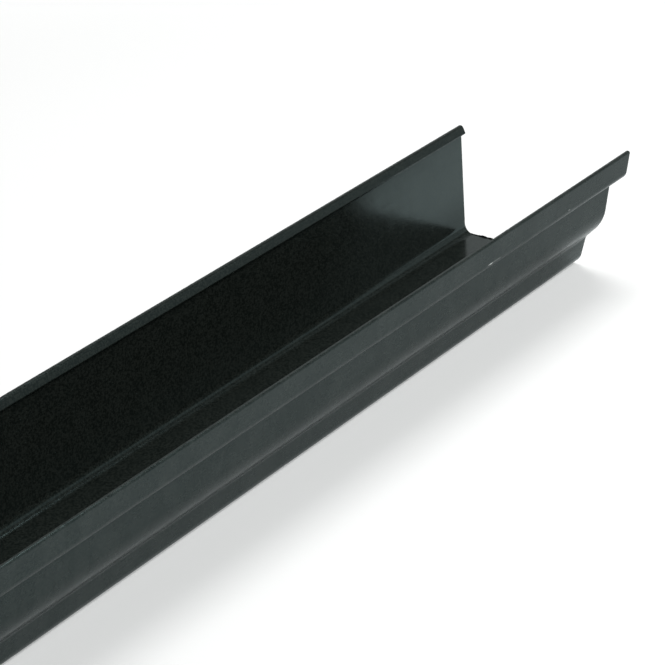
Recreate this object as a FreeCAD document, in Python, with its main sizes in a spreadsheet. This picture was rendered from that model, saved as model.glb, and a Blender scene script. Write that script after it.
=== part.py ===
import FreeCAD, Part
import math
import os
import Sketcher

# One stock length of moulded ogee rain gutter: an extruded aluminium channel of one wall
# thickness, open along its top and at both sawn ends.
# X runs along the length, the plain back wall stands at +Y, the moulded front faces -Y and Z is
# up. The origin is the middle of the length and the width, on the surface that the base rests on.

# Sizes in millimetres. Corners of the mouldings are placed on the outer face, before they are
# rounded, and each radius is that of the outer face. The lower mouldings are built up from the
# front corner of the base, and the upper ones hang from the rim.
SIZES = [
    ("length", 2000, "stock length, end to end"),
    ("wall", 2.0, "thickness of the whole section"),
    ("overall_width", 125, "back wall to the foremost point of the front rim"),
    ("back_height", 76, "underside to the top of the back wall"),
    ("front_height", 83.5, "underside to the top of the front rim"),
    ("heel_radius", 8.5, "bend between back wall and base"),
    ("front_oversail", 37.5, "foremost point of the rim past the front corner of the base"),
    ("toe_radius", 10, "bend between base and low fascia"),
    ("low_fascia_height", 20, "low fascia, from the underside to the cove over it"),
    ("low_fascia_out", 5.6, "how far the low fascia leans out over that height"),
    ("low_cove_radius", 6, "cove between low fascia and ovolo"),
    ("ovolo_rise", 13, "underside of the ovolo, from the cove up to the middle fascia"),
    ("ovolo_out", 12.9, "how far the underside of the ovolo reaches out"),
    ("ovolo_radius", 28, "round of the ovolo into the middle fascia"),
    ("cavetto_radius", 4.5, "hollow between the middle fascia and the soffit of the nose"),
    ("soffit_depth", 10, "level soffit from the middle fascia out to the nose"),
    ("top_fascia_height", 19.4, "top fascia, from the soffit to the top of the rim"),
    ("nose_set_back", 3.4, "lower edge of the top fascia, behind the foremost point"),
    ("nose_radius", 7, "round of the lower edge of the top fascia"),
    ("rim_bead", 0.8, "how much thicker the front rim is than the wall"),
    ("rim_depth", 4, "inner face of the rim, down from the top"),
    ("rim_taper", 1.5, "run-out of the rim into the wall, below its inner face"),
    ("rim_edge_radius", 1.1, "both top edges of the rim"),
    ("lip_top_overhang", 1.3, "top of the back lip, past the wall's inner face"),
    ("lip_face_out", 2.1, "how far the front of the lip slopes out below its top"),
    ("lip_face_height", 4.8, "front of the lip, from its top to its free edge"),
    ("lip_underside_height", 2.7, "underside of the lip, from its free edge to the wall"),
    ("lip_back_radius", 1.5, "back edge of the crowned top of the lip"),
    ("lip_shoulder_radius", 2.0, "front edge of the crowned top of the lip"),
    ("lip_tip_radius", 0.6, "free edge of the back lip"),
]

# Corners of the outer face in turn, from the bottom of the back wall round to the nose
OUTER_CORNERS = ("heel", "toe", "low_cove", "ovolo", "cavetto", "nose")
HOLLOW_CORNERS = ("low_cove", "cavetto")


def add_sheet(doc):
    """Spreadsheet with one named cell for each size."""
    sheet = doc.addObject("Spreadsheet::Sheet", "Sizes")
    for row, (alias, value, note) in enumerate(SIZES, start=1):
        sheet.set(f"A{row}", alias)
        sheet.set(f"B{row}", str(value))
        sheet.setAlias(f"B{row}", alias)
        sheet.set(f"C{row}", note)
    doc.recompute()
    return sheet


def inner_corner(before, corner, after, wall):
    """Where the inner face turns, a wall's thickness inside a corner of the outer face."""
    along_in = (corner - before).normalize()
    along_out = (after - corner).normalize()
    inward_in = FreeCAD.Vector(along_in.y, -along_in.x, 0)
    inward_out = FreeCAD.Vector(along_out.y, -along_out.x, 0)
    return corner + (inward_in + inward_out) * (wall / (1 + inward_in * inward_out))


def section_corners(sheet):
    """Corners round the section, each with its name, place and the formula of its radius."""
    back = sheet.overall_width / 2
    foremost = -sheet.overall_width / 2
    top = sheet.front_height
    lip_top = sheet.back_height

    # Outer face, from the heel forward along the base and up the mouldings
    heel = FreeCAD.Vector(back, 0, 0)
    toe = FreeCAD.Vector(foremost + sheet.front_oversail, 0, 0)
    low_cove = toe + FreeCAD.Vector(-sheet.low_fascia_out, sheet.low_fascia_height, 0)
    ovolo = low_cove + FreeCAD.Vector(-sheet.ovolo_out, sheet.ovolo_rise, 0)
    nose = FreeCAD.Vector(foremost + sheet.nose_set_back, top - sheet.top_fascia_height, 0)
    cavetto = nose + FreeCAD.Vector(sheet.soffit_depth, 0, 0)
    rim_front = FreeCAD.Vector(foremost, top, 0)
    outer = [heel, toe, low_cove, ovolo, cavetto, nose]
    corners = [(name, place, f"Sizes.{name}_radius") for name, place in zip(OUTER_CORNERS, outer)]

    # Front rim
    rim_face = foremost + sheet.wall + sheet.rim_bead
    foot = top - sheet.rim_depth
    root = foot - sheet.rim_taper
    corners.append(("rim_front", rim_front, "Sizes.rim_edge_radius"))
    corners.append(("rim_back", FreeCAD.Vector(rim_face, top, 0), "Sizes.rim_edge_radius"))
    corners.append(("rim_foot", FreeCAD.Vector(rim_face, foot, 0), None))
    corners.append(("rim_root", FreeCAD.Vector(foremost + sheet.wall, root, 0), None))

    # Inner face, back down the mouldings to the heel
    lip_back = FreeCAD.Vector(back, lip_top, 0)
    line = [lip_back] + outer + [rim_front]
    for index in range(len(outer), 0, -1):
        name = OUTER_CORNERS[index - 1]
        place = inner_corner(line[index - 1], line[index], line[index + 1], sheet.wall)
        sign = "+" if name in HOLLOW_CORNERS else "-"
        corners.append((name + "_inside", place, f"Sizes.{name}_radius {sign} Sizes.wall"))

    # Lip along the top of the back wall
    shoulder = FreeCAD.Vector(back - sheet.wall - sheet.lip_top_overhang, lip_top, 0)
    tip = shoulder + FreeCAD.Vector(-sheet.lip_face_out, -sheet.lip_face_height, 0)
    root = FreeCAD.Vector(back - sheet.wall, tip.y - sheet.lip_underside_height, 0)
    corners.append(("lip_root", root, None))
    corners.append(("lip_tip", tip, "Sizes.lip_tip_radius"))
    corners.append(("lip_shoulder", shoulder, "Sizes.lip_shoulder_radius"))
    corners.append(("lip_back", lip_back, "Sizes.lip_back_radius"))
    return corners


def round_corner(before, corner, after, radius):
    """Where a rounded corner starts and ends, its arc, and whether it turns to the left."""
    along_in = (corner - before).normalize()
    along_out = (after - corner).normalize()
    turns_left = along_in.x * along_out.y > along_in.y * along_out.x
    set_back = radius * math.tan(along_in.getAngle(along_out) / 2)
    start = corner - along_in * set_back
    end = corner + along_out * set_back
    side = radius if turns_left else -radius
    centre = start + FreeCAD.Vector(-along_in.y, along_in.x, 0) * side
    first, last = (start, end) if turns_left else (end, start)
    first_angle = math.atan2(first.y - centre.y, first.x - centre.x)
    last_angle = math.atan2(last.y - centre.y, last.x - centre.x)
    if last_angle < first_angle:
        last_angle += 2 * math.pi
    circle = Part.Circle(centre, FreeCAD.Vector(0, 0, 1), radius)
    return start, end, Part.ArcOfCircle(circle, first_angle, last_angle), turns_left


def bind(sketch, name, formula, kind, *where):
    """Dimension in the sketch whose value is a formula of named sizes."""
    value = float(sketch.evalExpression(formula))
    index = sketch.addConstraint(Sketcher.Constraint(kind, *where, value))
    sketch.renameConstraint(index, name)
    sketch.setExpression("Constraints." + name, formula)


def draw_outline(sketch, corners):
    """Closed outline with its corners rounded.

    Returns the side that leaves each corner, the arc in each rounded corner, and the sketch
    point that stands for each corner, all by the corner's name.
    """
    count = len(corners)
    rounded = {}
    for index, (name, place, formula) in enumerate(corners):
        before = corners[index - 1][1]
        after = corners[(index + 1) % count][1]
        if formula:
            radius = float(sketch.evalExpression(formula))
            rounded[name] = round_corner(before, place, after, radius)

    sides = {}
    for index, (name, place, formula) in enumerate(corners):
        next_name, next_place, next_formula = corners[(index + 1) % count]
        start = rounded[name][1] if formula else place
        end = rounded[next_name][0] if next_formula else next_place
        sides[name] = sketch.addGeometry(Part.LineSegment(start, end), False)

    arcs = {}
    points = {}
    for index, (name, place, formula) in enumerate(corners):
        side_in = sides[corners[index - 1][0]]
        side_out = sides[name]
        if not formula:
            sketch.addConstraint(Sketcher.Constraint("Coincident", side_in, 2, side_out, 1))
            points[name] = (side_out, 1)
            continue
        start, end, shape, turns_left = rounded[name]
        arc = sketch.addGeometry(shape, False)
        entry, leaving = (1, 2) if turns_left else (2, 1)
        sketch.addConstraint(Sketcher.Constraint("Tangent", side_in, 2, arc, entry))
        sketch.addConstraint(Sketcher.Constraint("Tangent", arc, leaving, side_out, 1))
        bind(sketch, name + "_round", formula, "Radius", arc)
        arcs[name] = arc
        if not name.endswith("_inside"):
            corner_point = sketch.addGeometry(Part.Point(place), True)
            sketch.addConstraint(Sketcher.Constraint("PointOnObject", corner_point, 1, side_in))
            sketch.addConstraint(Sketcher.Constraint("PointOnObject", corner_point, 1, side_out))
            points[name] = (corner_point, 1)
    return sides, arcs, points


def dimension_outer_face(sketch, sides, arcs, points, sheet):
    """Places of the outer corners and of the front rim."""
    origin = (-1, 1)
    x_axis = -1
    heel = points["heel"]
    toe = points["toe"]
    low_cove = points["low_cove"]
    ovolo = points["ovolo"]
    nose = points["nose"]
    cavetto = points["cavetto"]
    top = points["rim_front"]
    for name in ("heel", "cavetto", "rim_front", "lip_shoulder"):
        sketch.addConstraint(Sketcher.Constraint("Horizontal", sides[name]))
    sketch.addConstraint(Sketcher.Constraint("Vertical", sides["lip_back"]))

    # An upright line at the overall width, which the rim's front edge touches
    foremost = -sheet.overall_width / 2
    line_foot = FreeCAD.Vector(foremost, 0, 0)
    line_head = FreeCAD.Vector(foremost, sheet.front_height, 0)
    limit = sketch.addGeometry(Part.LineSegment(line_foot, line_head), True)
    sketch.addConstraint(Sketcher.Constraint("Vertical", limit))
    sketch.addConstraint(Sketcher.Constraint("PointOnObject", limit, 1, x_axis))
    sketch.addConstraint(Sketcher.Constraint("PointOnObject", *heel, x_axis))
    bind(sketch, "half_width", "Sizes.overall_width / 2", "DistanceX", *origin, *heel)
    bind(sketch, "width", "Sizes.overall_width", "DistanceX", limit, 1, *heel)
    bind(sketch, "limit_up", "Sizes.front_height", "DistanceY", limit, 1, limit, 2)
    sketch.addConstraint(Sketcher.Constraint("Tangent", limit, arcs["rim_front"]))

    # Lower mouldings, up from the toe
    bind(sketch, "toe_in", "Sizes.front_oversail", "DistanceX", limit, 1, *toe)
    bind(sketch, "low_fascia_out", "Sizes.low_fascia_out", "DistanceX", *low_cove, *toe)
    bind(sketch, "low_fascia_up", "Sizes.low_fascia_height", "DistanceY", *toe, *low_cove)
    bind(sketch, "ovolo_out", "Sizes.ovolo_out", "DistanceX", *ovolo, *low_cove)
    bind(sketch, "ovolo_up", "Sizes.ovolo_rise", "DistanceY", *low_cove, *ovolo)

    # Upper mouldings, down from the rim
    bind(sketch, "front_up", "Sizes.front_height", "DistanceY", *heel, *top)
    bind(sketch, "nose_in", "Sizes.nose_set_back", "DistanceX", limit, 1, *nose)
    bind(sketch, "nose_down", "Sizes.top_fascia_height", "DistanceY", *nose, *top)
    bind(sketch, "soffit_in", "Sizes.soffit_depth", "DistanceX", *nose, *cavetto)

    # Rim
    foot = points["rim_foot"]
    root = points["rim_root"]
    thickness = "Sizes.wall + Sizes.rim_bead"
    sketch.addConstraint(Sketcher.Constraint("Parallel", sides["rim_back"], sides["nose"]))
    bind(sketch, "rim_across", thickness, "Distance", sides["rim_back"], 1, sides["nose"])
    bind(sketch, "rim_down", "Sizes.rim_depth", "DistanceY", *foot, *top)
    bind(sketch, "rim_run_out", "Sizes.rim_taper", "DistanceY", *root, *foot)


def dimension_inner_face(sketch, sides, points):
    """Inner face, parallel to the outer face all the way, and the lip of the back wall."""
    outer_sides = ("lip_back",) + OUTER_CORNERS
    inner_sides = [name + "_inside" for name in OUTER_CORNERS] + ["rim_root"]
    for outer, inner in zip(outer_sides, inner_sides):
        sketch.addConstraint(Sketcher.Constraint("Parallel", sides[inner], sides[outer]))
        bind(sketch, inner + "_wall", "Sizes.wall", "Distance", sides[inner], 1, sides[outer])

    top = points["lip_back"]
    shoulder = points["lip_shoulder"]
    tip = points["lip_tip"]
    root = points["lip_root"]
    top_width = "Sizes.wall + Sizes.lip_top_overhang"
    bind(sketch, "back_up", "Sizes.back_height", "DistanceY", *points["heel"], *top)
    bind(sketch, "lip_top_out", top_width, "DistanceX", *shoulder, *top)
    bind(sketch, "lip_face_out", "Sizes.lip_face_out", "DistanceX", *tip, *shoulder)
    bind(sketch, "lip_face_down", "Sizes.lip_face_height", "DistanceY", *tip, *shoulder)
    bind(sketch, "lip_root_down", "Sizes.lip_underside_height", "DistanceY", *root, *tip)


def add_gutter_section(doc, sheet):
    """The gutter: its section drawn across the length, and padded to both sides."""
    body = doc.addObject("PartDesign::Body", "gutter_section")
    body.Label = "gutter_section"
    planes = {plane.Role: plane for plane in body.Origin.OriginFeatures}

    sketch = body.newObject("Sketcher::SketchObject", "section")
    sketch.AttachmentSupport = [(planes["YZ_Plane"], "")]
    sketch.MapMode = "FlatFace"
    doc.recompute()
    sides, arcs, points = draw_outline(sketch, section_corners(sheet))
    dimension_outer_face(sketch, sides, arcs, points, sheet)
    dimension_inner_face(sketch, sides, points)
    doc.recompute()

    pad = body.newObject("PartDesign::Pad", "run")
    pad.Profile = sketch
    pad.SideType = "Symmetric"
    pad.setExpression("Length", "Sizes.length")
    doc.recompute()
    body.Placement = FreeCAD.Placement()
    return body, sketch


def check_model(doc, body, sketch):
    """Stops before anything is written if a feature failed or the sketch is loose."""
    for thing in doc.Objects:
        if "Invalid" in thing.State or "Error" in thing.State:
            raise RuntimeError(f"{thing.Name} failed: {thing.State}")
    if not sketch.FullyConstrained:
        raise RuntimeError("the section is not fully constrained")
    if body.Shape.isNull() or not body.Shape.isValid() or len(body.Shape.Solids) != 1:
        raise RuntimeError("the gutter is not one valid solid")


document = FreeCAD.newDocument("gutter")
sizes = add_sheet(document)
gutter, section = add_gutter_section(document, sizes)
document.recompute()
check_model(document, gutter, section)

os.makedirs("parts", exist_ok=True)
gutter.Shape.exportStep("parts/gutter_section.step")
box = gutter.Shape.BoundBox
print(f"gutter_section: {box.XLength:.1f} x {box.YLength:.2f} x {box.ZLength:.2f} mm")
print(f"from y {box.YMin:.3f} to {box.YMax:.3f}, volume {gutter.Shape.Volume / 1000:.1f} cm3")
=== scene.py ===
import math
import random

import bpy
from mathutils import Matrix, Vector


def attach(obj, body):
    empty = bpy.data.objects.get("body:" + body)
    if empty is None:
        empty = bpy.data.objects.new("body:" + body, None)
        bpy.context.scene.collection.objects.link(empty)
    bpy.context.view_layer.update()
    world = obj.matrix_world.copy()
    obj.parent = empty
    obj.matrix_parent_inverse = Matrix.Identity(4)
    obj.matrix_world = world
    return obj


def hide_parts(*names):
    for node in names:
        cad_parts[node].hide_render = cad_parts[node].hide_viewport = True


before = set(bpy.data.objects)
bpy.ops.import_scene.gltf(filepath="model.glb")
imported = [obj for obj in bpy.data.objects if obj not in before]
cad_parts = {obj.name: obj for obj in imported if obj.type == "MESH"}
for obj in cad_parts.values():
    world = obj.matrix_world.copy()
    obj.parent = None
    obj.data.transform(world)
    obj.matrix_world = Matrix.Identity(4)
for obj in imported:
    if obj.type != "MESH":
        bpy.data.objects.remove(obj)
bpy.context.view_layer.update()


# The gutter section is one aluminium extrusion: a flat base, a plain back wall with a folded lip
# along its top, and a moulded front that ends in a thicker rim. It is pushed through a die, sawn
# to its stock length and powder coated all over, which rounds every edge a little.
gutter_length = 2.0
gutter_wall = 0.002
end_rounding = 0.00025
wide_bend = 0.012
bend_step = math.radians(5)
wide_bend_step = math.radians(2.5)

# Sawing let the back wall lean out by a hair near the far end: it shows only in what it mirrors
spring_from = 0.80
spring_to = 0.95
wall_lean = 0.022
back_wall_from = 0.05

# Corners of the outer face before they are bent: name, across, up, radius of the bend
outer_corners = [
    ("heel", 0.0625, 0.0, 0.0085),
    ("toe", -0.0250, 0.0, 0.0100),
    ("low cove", -0.0306, 0.0200, 0.0060),
    ("ovolo", -0.0435, 0.0330, 0.0280),
    ("cavetto", -0.0491, 0.0641, 0.0045),
    ("nose", -0.0591, 0.0641, 0.0070),
]
hollow_corners = ("low cove", "cavetto")
rim_front = (-0.06272, 0.0835, 0.0011)
rim_thickness = 0.0028
rim_depth = 0.004
rim_run_out = 0.0015
rim_root_radius = 0.0008
lip_corners = [
    (0.0605, 0.0685, 0.0004),
    (0.0571, 0.0712, 0.0006),
    (0.0592, 0.0760, 0.0020),
    (0.0625, 0.0760, 0.0015),
]


def inside_corner(before, corner, after, wall):
    """Where the inner face turns, a wall's thickness inside a corner of the outer face."""
    along_in = (corner - before).normalized()
    along_out = (after - corner).normalized()
    inward_in = Vector((along_in.y, -along_in.x))
    inward_out = Vector((along_out.y, -along_out.x))
    return corner + (inward_in + inward_out) * (wall / (1 + inward_in.dot(inward_out)))


def die_outline():
    """Corners all round the die, each with the radius of its bend."""
    lip_back = Vector(lip_corners[-1][:2])
    places = [Vector((across, up)) for name, across, up, radius in outer_corners]
    front = Vector(rim_front[:2])
    around = [(place, corner[3]) for place, corner in zip(places, outer_corners)]
    around.append((front, rim_front[2]))

    # The rim is thicker than the wall, measured square to the top fascia
    lean = (front - places[-1]).normalized()
    across_rim = rim_thickness / lean.y
    rim_back = Vector((front.x + across_rim, front.y))
    rim_foot = rim_back - lean * (rim_depth / lean.y)
    wall_line = front.x + gutter_wall / lean.y
    rim_root_up = rim_foot.y - rim_run_out
    rim_root = Vector((wall_line + lean.x / lean.y * (rim_root_up - front.y), rim_root_up))
    around.append((rim_back, rim_front[2]))
    around += [(rim_foot, rim_root_radius), (rim_root, rim_root_radius)]

    # The inner face runs back along the outer one, from the nose to the heel
    line = [lip_back] + places + [front]
    for index in range(len(places), 0, -1):
        name, across, up, radius = outer_corners[index - 1]
        inner_radius = radius + gutter_wall if name in hollow_corners else radius - gutter_wall
        corner = inside_corner(line[index - 1], line[index], line[index + 1], gutter_wall)
        around.append((corner, inner_radius))
    around += [(Vector((across, up)), radius) for across, up, radius in lip_corners]
    return around


def bent_outline(corners):
    """Points and outward normals round the section, with each corner bent to its radius."""
    points = []
    for index, (corner, radius) in enumerate(corners):
        before = corners[index - 1][0]
        after = corners[(index + 1) % len(corners)][0]
        along_in = (corner - before).normalized()
        along_out = (after - corner).normalized()
        turn = math.atan2(along_in.x * along_out.y - along_in.y * along_out.x,
                          along_in.dot(along_out))
        start = corner - along_in * radius * math.tan(abs(turn) / 2)
        normal_in = Vector((-along_in.y, along_in.x))
        side = -1 if turn < 0 else 1
        centre = start + normal_in * radius * side
        step_angle = bend_step if radius < wide_bend else wide_bend_step
        steps = max(3, math.ceil(abs(turn) / step_angle))
        for step in range(steps + 1):
            normal = normal_in.copy()
            normal.rotate(Matrix.Rotation(turn * step / steps, 2))
            points.append((centre - normal * radius * side, normal))
    return points


def extrude_section(outline):
    """Mesh of the outline drawn out along the length, with its sawn edges slightly rounded."""
    half = gutter_length / 2
    rounding_steps = 3
    stretches = 20
    end_stretch = 0.02
    stations = []
    for step in range(rounding_steps + 1):
        angle = math.pi / 2 * step / rounding_steps
        inset = end_rounding * (1 - math.sin(angle))
        stations.append((half - end_rounding * (1 - math.cos(angle)), inset, math.cos(angle)))
    run = [(half - end_stretch, 0, 0)]
    run += [(part / stretches * half, 0, 0) for part in range(stretches - 1, -stretches, -1)]
    run.append((end_stretch - half, 0, 0))
    mirrored = [(-x, inset, -tilt) for x, inset, tilt in reversed(stations)]
    stations += run + mirrored

    vertices = []
    normals = []
    for x, inset, tilt in stations:
        upright = math.sqrt(max(0.0, 1 - tilt * tilt))
        sprung = min(1.0, max(0.0, (x - spring_from) / (spring_to - spring_from)))
        for point, normal in outline:
            place = point - normal * inset
            vertices.append((x, place.x, place.y))
            faces_front = normal.x < -0.999
            lean = 0.0
            if faces_front and place.x > back_wall_from:
                lean = wall_lean * sprung * place.y / lip_corners[0][1]
            normals.append((tilt, normal.x * upright, normal.y * upright + lean))
    count = len(outline)
    faces = []
    for ring in range(len(stations) - 1):
        for step in range(count):
            following = (step + 1) % count
            near, far = ring * count, (ring + 1) * count
            faces.append((near + step, near + following, far + following, far + step))
    last = (len(stations) - 1) * count
    faces.append(tuple(range(count - 1, -1, -1)))
    faces.append(tuple(range(last, last + count)))
    return vertices, faces, normals


vertices, faces, normals = extrude_section(bent_outline(die_outline()))
gutter_mesh = bpy.data.meshes.new("gutter_section_skin")
gutter_mesh.from_pydata(vertices, [], faces)
gutter_mesh.validate()
gutter_mesh.shade_smooth()
gutter_mesh.normals_split_custom_set_from_vertices(normals)
gutter = bpy.data.objects.new("coated_gutter", gutter_mesh)
bpy.context.scene.collection.objects.link(gutter)


def add_node(tree, kind, place, **settings):
    """Node of a material, with its settings and the values of its named sockets."""
    node = tree.nodes.new(kind)
    node.location = place
    for name, value in settings.items():
        if hasattr(node, name):
            setattr(node, name, value)
        else:
            node.inputs[name.replace("_", " ").title()].default_value = value
    return node


def stretched_noise(tree, way, place, scale, detail, roughness):
    """Noise with its own scale each way, for grain and for marks that run along or across."""
    mapping = add_node(tree, "ShaderNodeMapping", place, vector_type="POINT", Scale=scale)
    tree.links.new(way, mapping.inputs["Vector"])
    noise = add_node(tree, "ShaderNodeTexNoise", (place[0] + 200, place[1]), Scale=1.0,
                     Detail=detail, Roughness=roughness)
    tree.links.new(mapping.outputs["Vector"], noise.inputs["Vector"])
    return noise.outputs["Fac"]


def eased(tree, value, place, between, to):
    """Value eased from one range into another."""
    ease = add_node(tree, "ShaderNodeMapRange", place, interpolation_type="SMOOTHSTEP",
                    From_Min=between[0], From_Max=between[1], To_Min=to[0], To_Max=to[1])
    tree.links.new(value, ease.inputs["Value"])
    return ease.outputs["Result"]


def combined(tree, operation, first, second, place):
    """Result of one step of arithmetic between a socket and a socket or a number."""
    step = add_node(tree, "ShaderNodeMath", place, operation=operation)
    tree.links.new(first, step.inputs[0])
    if isinstance(second, (int, float)):
        step.inputs[1].default_value = second
    else:
        tree.links.new(second, step.inputs[1])
    return step.outputs[0]


def mixed_colour(tree, factor, first, second, place):
    """Colour between two, each a fixed colour or the outcome of another mix."""
    mix = add_node(tree, "ShaderNodeMix", place, data_type="RGBA")
    tree.links.new(factor, mix.inputs[0])
    for index, colour in ((6, first), (7, second)):
        if isinstance(colour, tuple):
            mix.inputs[index].default_value = colour + (1,)
        else:
            tree.links.new(colour, mix.inputs[index])
    return mix.outputs[2]


def make_orange_peel():
    """Group for the skin of powder coat: low dimples where the powder flowed out in the oven."""
    group = bpy.data.node_groups.new("orange_peel", "ShaderNodeTree")
    sockets = group.interface
    sockets.new_socket("Vector", in_out="INPUT", socket_type="NodeSocketVector")
    for name, value in (("Dimple Size", 0.0018), ("Depth", 1.0)):
        socket = sockets.new_socket(name, in_out="INPUT", socket_type="NodeSocketFloat")
        socket.default_value = value
    sockets.new_socket("Height", in_out="OUTPUT", socket_type="NodeSocketFloat")
    sockets.new_socket("Mottle", in_out="OUTPUT", socket_type="NodeSocketFloat")
    start = group.nodes.new("NodeGroupInput")
    end = group.nodes.new("NodeGroupOutput")
    per_metre = add_node(group, "ShaderNodeMath", (0, 0), operation="DIVIDE")
    per_metre.inputs[0].default_value = 1.0
    group.links.new(start.outputs["Dimple Size"], per_metre.inputs[1])
    dimples = add_node(group, "ShaderNodeTexNoise", (200, 0), Detail=1.5, Roughness=0.45)
    group.links.new(start.outputs["Vector"], dimples.inputs["Vector"])
    group.links.new(per_metre.outputs[0], dimples.inputs["Scale"])
    clouds_per_dimple = 0.11
    slow = combined(group, "MULTIPLY", per_metre.outputs[0], clouds_per_dimple, (0, -200))
    cloud = add_node(group, "ShaderNodeTexNoise", (200, -200), Detail=3.0, Roughness=0.6)
    group.links.new(start.outputs["Vector"], cloud.inputs["Vector"])
    group.links.new(slow, cloud.inputs["Scale"])
    height = combined(group, "MULTIPLY", dimples.outputs["Fac"], start.outputs["Depth"], (400, 0))
    group.links.new(height, end.inputs["Height"])
    group.links.new(cloud.outputs["Fac"], end.inputs["Mottle"])
    return group


def make_chips():
    """Group for small chips out of the coat: ragged spots round given places."""
    group = bpy.data.node_groups.new("coat_chips", "ShaderNodeTree")
    sockets = group.interface
    sockets.new_socket("Vector", in_out="INPUT", socket_type="NodeSocketVector")
    sockets.new_socket("Ragged", in_out="INPUT", socket_type="NodeSocketFloat").default_value = 0.5
    sockets.new_socket("Mask", in_out="OUTPUT", socket_type="NodeSocketFloat")
    start = group.nodes.new("NodeGroupInput")
    end = group.nodes.new("NodeGroupOutput")
    grit = add_node(group, "ShaderNodeTexNoise", (0, -300), Scale=1500.0, Detail=2.0)
    group.links.new(start.outputs["Vector"], grit.inputs["Vector"])
    ragged = combined(group, "MULTIPLY", grit.outputs["Fac"], start.outputs["Ragged"], (200, -300))
    total = None
    for index, (along, across, up, long, wide, bareness) in enumerate(chips):
        reach = add_node(group, "ShaderNodeMapping", (0, 200 * index), vector_type="TEXTURE",
                         Location=(along, across, up), Scale=(long, wide, wide))
        group.links.new(start.outputs["Vector"], reach.inputs["Vector"])
        off = add_node(group, "ShaderNodeVectorMath", (200, 200 * index), operation="LENGTH")
        group.links.new(reach.outputs["Vector"], off.inputs[0])
        edge = combined(group, "ADD", off.outputs["Value"], ragged, (400, 200 * index))
        spot = eased(group, edge, (600, 200 * index), between=(0.75, 1.30),
                     to=(bareness, 0.0))
        total = spot if total is None else combined(group, "MAXIMUM", total, spot, (800, 0))
    group.links.new(total, end.inputs["Mask"])
    return group


def put_group(tree, group, place, way, **values):
    """Group placed in a material with its own values."""
    node = tree.nodes.new("ShaderNodeGroup")
    node.node_tree = group
    node.location = place
    tree.links.new(way, node.inputs["Vector"])
    for name, value in values.items():
        node.inputs[name.replace("_", " ")].default_value = value
    return node


# Chips where the coat was knocked off the nose: place, length, width, and how bare each one is.
# The second is the faint scratch that trails from the first.
chips = [
    (0.8540, -0.0600, 0.0690, 0.0030, 0.0005, 1.0),
    (0.8590, -0.0600, 0.0691, 0.0065, 0.0004, 0.22),
    (0.9355, -0.0602, 0.0698, 0.0010, 0.0006, 0.25),
    (0.5870, -0.0580, 0.0660, 0.0009, 0.0006, 0.55),
]


# Colours of the coat, what roughens it, and its relief, where a dimple is one high
coat_ior = 1.54
coat_tint = (0.65, 0.99, 1.0, 1)
coat_dark = (0.0052, 0.0066, 0.0055)
coat_light = (0.0160, 0.0188, 0.0160)
haze_colour = (0.17, 0.18, 0.17)
bare_colour = (0.86, 0.86, 0.84)
outside_roughness = 0.09
bare_roughness = 0.25
bare_shine = 0.6
die_line_height = 0.35
chip_depth = 3.0
dimple_height = 0.000009


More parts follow.
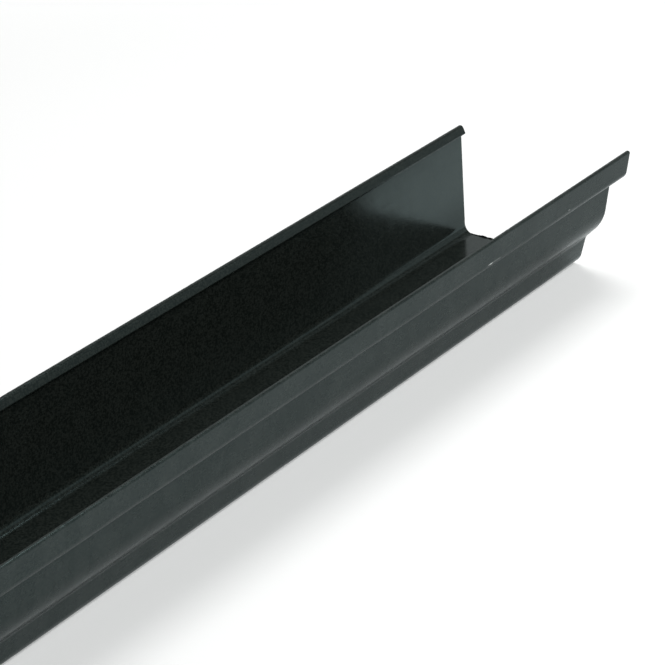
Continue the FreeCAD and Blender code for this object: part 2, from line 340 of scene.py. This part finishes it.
def make_powder_coat():
    """Semi-gloss black powder coat with a green-blue cast, over the whole extrusion."""
    material = bpy.data.materials.new("black_powder_coat")
    material.use_nodes = True
    tree = material.node_tree
    coat = tree.nodes["Principled BSDF"]
    coat.inputs["IOR"].default_value = coat_ior
    coat.inputs["Specular Tint"].default_value = coat_tint
    way = add_node(tree, "ShaderNodeTexCoord", (-1800, 0)).outputs["Object"]
    split_way = add_node(tree, "ShaderNodeSeparateXYZ", (-1500, 600))
    tree.links.new(way, split_way.inputs[0])
    peel = put_group(tree, orange_peel, (-1500, 0), way, Dimple_Size=0.0012)
    drawn = stretched_noise(tree, way, (-1500, -300), scale=(1.2, 420.0, 420.0), detail=3.0,
                            roughness=0.6)
    wiped = stretched_noise(tree, way, (-1500, -600), scale=(110.0, 32.0, 32.0), detail=2.0,
                            roughness=0.55)
    rubbed = stretched_noise(tree, way, (-1500, -900), scale=(34.0, 34.0, 34.0), detail=3.0,
                             roughness=0.6)
    grain = stretched_noise(tree, way, (-1500, 300), scale=(820.0, 820.0, 820.0), detail=1.5,
                            roughness=0.6)
    speckle = eased(tree, grain, (-1150, 300), between=(0.36, 0.64), to=(0.0, 1.0))
    knocks = put_group(tree, coat_chips, (-1500, -1200), way, Ragged=0.55)

    # Colour: the speckled coat, a trace of pale haze where it was wiped, then the bare chips
    shade = mixed_colour(tree, speckle, coat_dark, coat_light, (-900, 300))
    haze = combined(tree, "MULTIPLY", rubbed, wiped, (-1200, 500))
    haze = eased(tree, haze, (-1100, 500), between=(0.14, 0.40), to=(0.0, 0.055))
    outside = eased(tree, split_way.outputs["Y"], (-1100, 650), between=(0.0, -0.03),
                    to=(0.12, 1.0))
    haze = combined(tree, "MULTIPLY", haze, outside, (-900, 500))
    shade = mixed_colour(tree, haze, shade, haze_colour, (-700, 300))
    bare = knocks.outputs["Mask"]
    shade = mixed_colour(tree, bare, shade, bare_colour, (-500, 300))
    tree.links.new(shade, coat.inputs["Base Color"])

    # Gloss: clouded, duller outside, with faint marks where it was wiped across and drawn along
    gloss = eased(tree, peel.outputs["Mottle"], (-900, 0), between=(0.3, 0.7), to=(0.155, 0.205))
    handled = combined(tree, "MULTIPLY", outside, outside_roughness, (-900, 100))
    across_marks = eased(tree, wiped, (-900, -150), between=(0.35, 0.75), to=(-0.012, 0.03))
    along_marks = eased(tree, drawn, (-900, -300), between=(0.35, 0.75), to=(-0.01, 0.02))
    gloss = combined(tree, "ADD", gloss, handled, (-850, 0))
    gloss = combined(tree, "ADD", gloss, across_marks, (-700, 0))
    gloss = combined(tree, "ADD", gloss, along_marks, (-550, 0))
    chipped = combined(tree, "MULTIPLY", bare, bare_roughness, (-700, -150))
    gloss = combined(tree, "ADD", gloss, chipped, (-400, 0))
    tree.links.new(gloss, coat.inputs["Roughness"])
    shine = combined(tree, "MULTIPLY", bare, bare_shine, (-400, 150))
    tree.links.new(shine, coat.inputs["Metallic"])

    # Relief: the dimples, the drawn lines of the die, and the chips sunk through the coat
    die_lines = combined(tree, "MULTIPLY", drawn, die_line_height, (-900, -500))
    relief = combined(tree, "ADD", peel.outputs["Height"], die_lines, (-700, -450))
    sunk = combined(tree, "MULTIPLY", bare, chip_depth, (-700, -600))
    relief = combined(tree, "SUBTRACT", relief, sunk, (-550, -450))
    bump = add_node(tree, "ShaderNodeBump", (-300, -300), Distance=dimple_height)
    tree.links.new(relief, bump.inputs["Height"])
    tree.links.new(bump.outputs["Normal"], coat.inputs["Normal"])
    return material


orange_peel = make_orange_peel()
coat_chips = make_chips()
gutter_mesh.materials.append(make_powder_coat())
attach(gutter, "root")
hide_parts("gutter_section")


# Both ends are sawn square across. The blade leaves fine parallel marks on the 2 mm edge, and the
# coat over them is thinner and duller than on the faces.
mark_dark = (0.0075, 0.0105, 0.0095)
mark_light = (0.0180, 0.0215, 0.0200)
saw_tilt = 0.6
saw_mark_height = 1.4
sawn_relief = 0.00003


def make_sawn_coat():
    """Duller coat over saw marks."""
    material = bpy.data.materials.new("coat_over_saw_marks")
    material.use_nodes = True
    tree = material.node_tree
    coat = tree.nodes["Principled BSDF"]
    coat.inputs["IOR"].default_value = coat_ior
    coat.inputs["Specular Tint"].default_value = coat_tint
    way = add_node(tree, "ShaderNodeTexCoord", (-1500, 0)).outputs["Object"]
    peel = put_group(tree, orange_peel, (-1200, 0), way, Dimple_Size=0.0009, Depth=0.7)
    turned = add_node(tree, "ShaderNodeMapping", (-1200, -300), vector_type="POINT",
                      Rotation=(saw_tilt, 0.0, 0.0))
    tree.links.new(way, turned.inputs["Vector"])
    teeth = add_node(tree, "ShaderNodeTexWave", (-1000, -300), wave_type="BANDS",
                     bands_direction="Z", Scale=420.0, Distortion=3.0, Detail=2.0,
                     Detail_Scale=0.6)
    tree.links.new(turned.outputs["Vector"], teeth.inputs["Vector"])
    marks = teeth.outputs["Fac"]
    shade = mixed_colour(tree, marks, mark_dark, mark_light, (-500, 300))
    tree.links.new(shade, coat.inputs["Base Color"])
    gloss = eased(tree, peel.outputs["Mottle"], (-500, 0), between=(0.3, 0.7), to=(0.30, 0.42))
    tree.links.new(gloss, coat.inputs["Roughness"])
    sawn = combined(tree, "MULTIPLY", marks, saw_mark_height, (-700, -450))
    relief = combined(tree, "ADD", peel.outputs["Height"], sawn, (-500, -450))
    bump = add_node(tree, "ShaderNodeBump", (-300, -300), Distance=sawn_relief)
    tree.links.new(relief, bump.inputs["Height"])
    tree.links.new(bump.outputs["Normal"], coat.inputs["Normal"])
    return material


gutter_mesh.materials.append(make_sawn_coat())
for face in gutter_mesh.polygons:
    if abs(face.center.x) > gutter_length / 2 - end_rounding / 4:
        face.material_index = 1


# The saw left a burr on the inner edge of the base at the far end: a thin torn fin of metal,
# bent up and coated over with the rest, highest near the heel.
burr_from = 0.0560
burr_to = 0.0180
burr_height = 0.0014
burr_thickness = 0.00035
burr_inset = 0.00005
burr_seat = 0.0001
burr_lean = 0.0004
burr_waver = 0.00012
burr_tear = 0.24
burr_steps = 74
half_crest = 0.00006
heel_bend_from = 0.0540
heel_slope = 0.17


def torn_fin():
    """Mesh of the burr: a closed strip whose top edge is torn uneven."""
    torn = random.Random(7)
    outer = gutter_length / 2 - burr_inset
    inner = outer - burr_thickness
    vertices = []
    drift = 0.0
    for step in range(burr_steps + 1):
        share = step / burr_steps
        across = burr_from + (burr_to - burr_from) * share
        foot = gutter_wall - burr_seat + max(0.0, across - heel_bend_from) * heel_slope

        # It is soon at its full height and then dies away, and its edge wanders as it tears
        envelope = min(1.0, 0.35 + share * 5) * (1 - share) ** 0.45
        drift = 0.6 * drift + torn.uniform(-burr_tear, burr_tear)
        top = burr_height * envelope * max(0.30, 0.74 + drift)
        lean = burr_lean * envelope + burr_waver * drift
        crest = inner + burr_thickness * 0.35 - lean * 0.3
        vertices += [(inner, across, foot), (crest - half_crest, across, foot + top),
                     (crest + half_crest, across, foot + top), (outer, across, foot)]
    faces = []
    for step in range(burr_steps):
        for side in range(4):
            following = (side + 1) % 4
            faces.append((step * 4 + side, step * 4 + following,
                          step * 4 + 4 + following, step * 4 + 4 + side))
    faces.append((3, 2, 1, 0))
    faces.append(tuple(burr_steps * 4 + side for side in range(4)))
    return vertices, faces


vertices, faces = torn_fin()
burr_mesh = bpy.data.meshes.new("saw_burr_fin")
burr_mesh.from_pydata(vertices, [], faces)
burr_mesh.validate()
burr_mesh.materials.append(gutter_mesh.materials[1])
burr = bpy.data.objects.new("saw_burr", burr_mesh)
bpy.context.scene.collection.objects.link(burr)
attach(burr, "root")


# The gutter lies on a wide white studio floor. Seen straight on it is plain white paper, and it
# keeps the soft shadow under the oversailing front.
floor_size = 60.0
floor_gap = 0.0002
# Reflections see the paper in a darker, bluer colour with a painted glow added, so how bright it
# looks in the coat is painted, not lit
paper_seen = (0.843, 0.843, 0.838)
paper_mirrored = (0.318, 0.34, 0.342)
mirrored_glow = 0.155
painted_pool_glow = 0.42
pool_slant = 0.2
floor_mesh = bpy.data.meshes.new("studio_floor")
half = floor_size / 2
floor_mesh.from_pydata([(-half, -half, 0), (half, -half, 0), (half, half, 0), (-half, half, 0)],
                       [], [(0, 1, 2, 3)])
floor = bpy.data.objects.new("studio_floor", floor_mesh)
bpy.context.scene.collection.objects.link(floor)
floor.location.z = -floor_gap


def make_floor_paper():
    """White paper whose own brightness is raised for the eye and for reflections alone."""
    material = bpy.data.materials.new("white_floor_paper")
    material.use_nodes = True
    tree = material.node_tree
    tree.nodes.remove(tree.nodes["Principled BSDF"])
    paper = add_node(tree, "ShaderNodeBsdfDiffuse", (0, 0))
    light = add_node(tree, "ShaderNodeLightPath", (-800, -250))
    place = add_node(tree, "ShaderNodeTexCoord", (-1400, -300)).outputs["Object"]
    colour = mixed_colour(tree, light.outputs["Is Glossy Ray"], paper_seen, paper_mirrored,
                          (-300, 200))
    tree.links.new(colour, paper.inputs["Color"])

    # Seen, it stays white far from the gutter too, where the lamps no longer reach
    middle = add_node(tree, "ShaderNodeMapping", (-1200, -100), vector_type="TEXTURE",
                      Location=(0.45, 0.0, 0.0), Scale=(0.8, 0.6, 1.0))
    tree.links.new(place, middle.inputs["Vector"])
    away = add_node(tree, "ShaderNodeVectorMath", (-1000, -100), operation="LENGTH")
    tree.links.new(middle.outputs["Vector"], away.inputs[0])
    white = eased(tree, away.outputs["Value"], (-800, -50), between=(1.15, 2.9), to=(0.214, 0.80))
    seen = combined(tree, "MULTIPLY", white, light.outputs["Is Camera Ray"], (-400, -200))

    # Reflected, the paper glows brightest in a painted pool of light just past the far end of the
    # channel: an emission that only reflections see, which no lamp casts
    split = add_node(tree, "ShaderNodeSeparateXYZ", (-1200, -500))
    tree.links.new(place, split.inputs[0])
    past_end = eased(tree, split.outputs["X"], (-1000, -450), between=(0.955, 1.005),
                     to=(0.0, painted_pool_glow))
    slant = combined(tree, "MULTIPLY", split.outputs["X"], pool_slant, (-1200, -600))
    slant = combined(tree, "ADD", slant, split.outputs["Y"], (-1100, -600))
    to_front = eased(tree, slant, (-1000, -600), between=(0.164, 0.178), to=(0.0, 1.0))
    to_back = eased(tree, split.outputs["Y"], (-1000, -750), between=(0.012, 0.048),
                    to=(1.0, 0.2))
    pool = combined(tree, "MULTIPLY", to_front, to_back, (-800, -650))
    pool = combined(tree, "MULTIPLY", past_end, pool, (-700, -500))
    pool = combined(tree, "ADD", pool, mirrored_glow, (-550, -500))
    mirrored = combined(tree, "MULTIPLY", pool, light.outputs["Is Glossy Ray"], (-400, -400))
    glow = add_node(tree, "ShaderNodeEmission", (0, -200), Color=(0.965, 1.0, 0.995, 1))
    both = add_node(tree, "ShaderNodeAddShader", (200, 0))
    tree.links.new(combined(tree, "ADD", seen, mirrored, (-200, -300)), glow.inputs["Strength"])
    tree.links.new(paper.outputs[0], both.inputs[0])
    tree.links.new(glow.outputs[0], both.inputs[1])
    tree.links.new(both.outputs[0], tree.nodes["Material Output"].inputs["Surface"])
    return material


floor_mesh.materials.append(make_floor_paper())


# The room round the floor is bright behind the gutter and in front of it, dim overhead, and
# darkest in a strip above the camera. Shares run from the back (0) over the top to the front (1).
room_brightness = [
    (0.00, 0.34), (0.12, 0.40), (0.21, 0.57), (0.34, 0.34), (0.46, 0.22),
    (0.54, 0.24), (0.64, 0.05), (0.75, 0.48), (0.88, 0.42), (1.00, 0.38),
]


def make_room():
    """World whose light changes with the angle round the gutter's length."""
    room = bpy.data.worlds.new("studio_room")
    bpy.context.scene.world = room
    room.use_nodes = True
    tree = room.node_tree
    sky = tree.nodes["Background"]
    way = add_node(tree, "ShaderNodeTexCoord", (-1000, 0))
    split = add_node(tree, "ShaderNodeSeparateXYZ", (-800, 0))
    tree.links.new(way.outputs["Generated"], split.inputs[0])
    angle = combined(tree, "ARCTAN2", split.outputs["Z"], split.outputs["Y"], (-600, 0))
    share = combined(tree, "DIVIDE", angle, math.pi, (-450, 0))
    ramp = add_node(tree, "ShaderNodeValToRGB", (-300, 0))
    ramp.color_ramp.interpolation = "EASE"
    stops = ramp.color_ramp.elements
    while len(stops) < len(room_brightness):
        stops.new(0.5)
    for stop, (place, level) in zip(stops, room_brightness):
        stop.position = place
        stop.color = (level, level, level, 1)
    tree.links.new(share, ramp.inputs["Fac"])
    light = add_node(tree, "ShaderNodeLightPath", (-300, 300))
    colour = mixed_colour(tree, light.outputs["Is Camera Ray"], ramp.outputs["Color"],
                          (1.0, 1.0, 1.0), (0, 100))
    tree.links.new(colour, sky.inputs["Color"])

    # The room is brighter towards the far end too, and plain white where the camera sees it
    far = eased(tree, split.outputs["X"], (-300, -300), between=(0.48, 0.85), to=(0.54, 1.04))
    strength = combined(tree, "MAXIMUM", far, light.outputs["Is Camera Ray"], (0, -200))
    tree.links.new(strength, sky.inputs["Strength"])


make_room()


# A soft box hangs nearly overhead beyond the far end, so the shadow stays close under the front.
# A weaker one lights the near end, and a third stands in front, right of the camera and above it.
def hang_soft_box(name, place, aim, size, power):
    """Square area lamp that no camera sees."""
    lamp = bpy.data.lights.new(name, "AREA")
    lamp.shape = "SQUARE"
    lamp.size = size
    lamp.energy = power
    holder = bpy.data.objects.new(name, lamp)
    bpy.context.scene.collection.objects.link(holder)
    holder.location = place
    holder.rotation_mode = "QUATERNION"
    holder.rotation_quaternion = (Vector(aim) - Vector(place)).to_track_quat("-Z", "Y")
    holder.visible_camera = False


hang_soft_box("soft_box_above", place=(1.55, 0.24, 2.9), aim=(0.9, 0.0, 0.0), size=1.25,
              power=36.0)
hang_soft_box("soft_box_near_end", place=(-1.4, 0.24, 2.9), aim=(-1.0, 0.0, 0.0), size=1.25,
              power=2.5)
hang_soft_box("soft_box_front", place=(1.1, -2.2, 2.4), aim=(0.7, 0.0, 0.0), size=1.2,
              power=68.0)


# The camera stands in front of the gutter and above it, and looks along it to the far end through
# a long lens. Where it stands and how it is turned follow from the edges in the photo.
photo_width = 665
focal_length_pixels = 2400
sensor_width = 36.0
camera_place = (-0.141954, -0.752997, 0.649458)
to_right = Vector((0.6045, -0.794081, -0.063364))
to_top = Vector((0.396066, 0.230586, 0.888798))
camera_data = bpy.data.cameras.new("studio_camera")
camera_data.sensor_width = sensor_width
camera_data.lens = focal_length_pixels / photo_width * sensor_width
camera_data.clip_start = 0.05
camera_data.clip_end = 200.0
camera = bpy.data.objects.new("studio_camera", camera_data)
bpy.context.scene.collection.objects.link(camera)
backward = to_right.cross(to_top)
turn = Matrix((to_right, to_top, backward)).transposed().to_4x4()
camera.matrix_world = Matrix.Translation(camera_place) @ turn
bpy.context.scene.camera = camera
bpy.context.scene.view_settings.view_transform = "Standard"
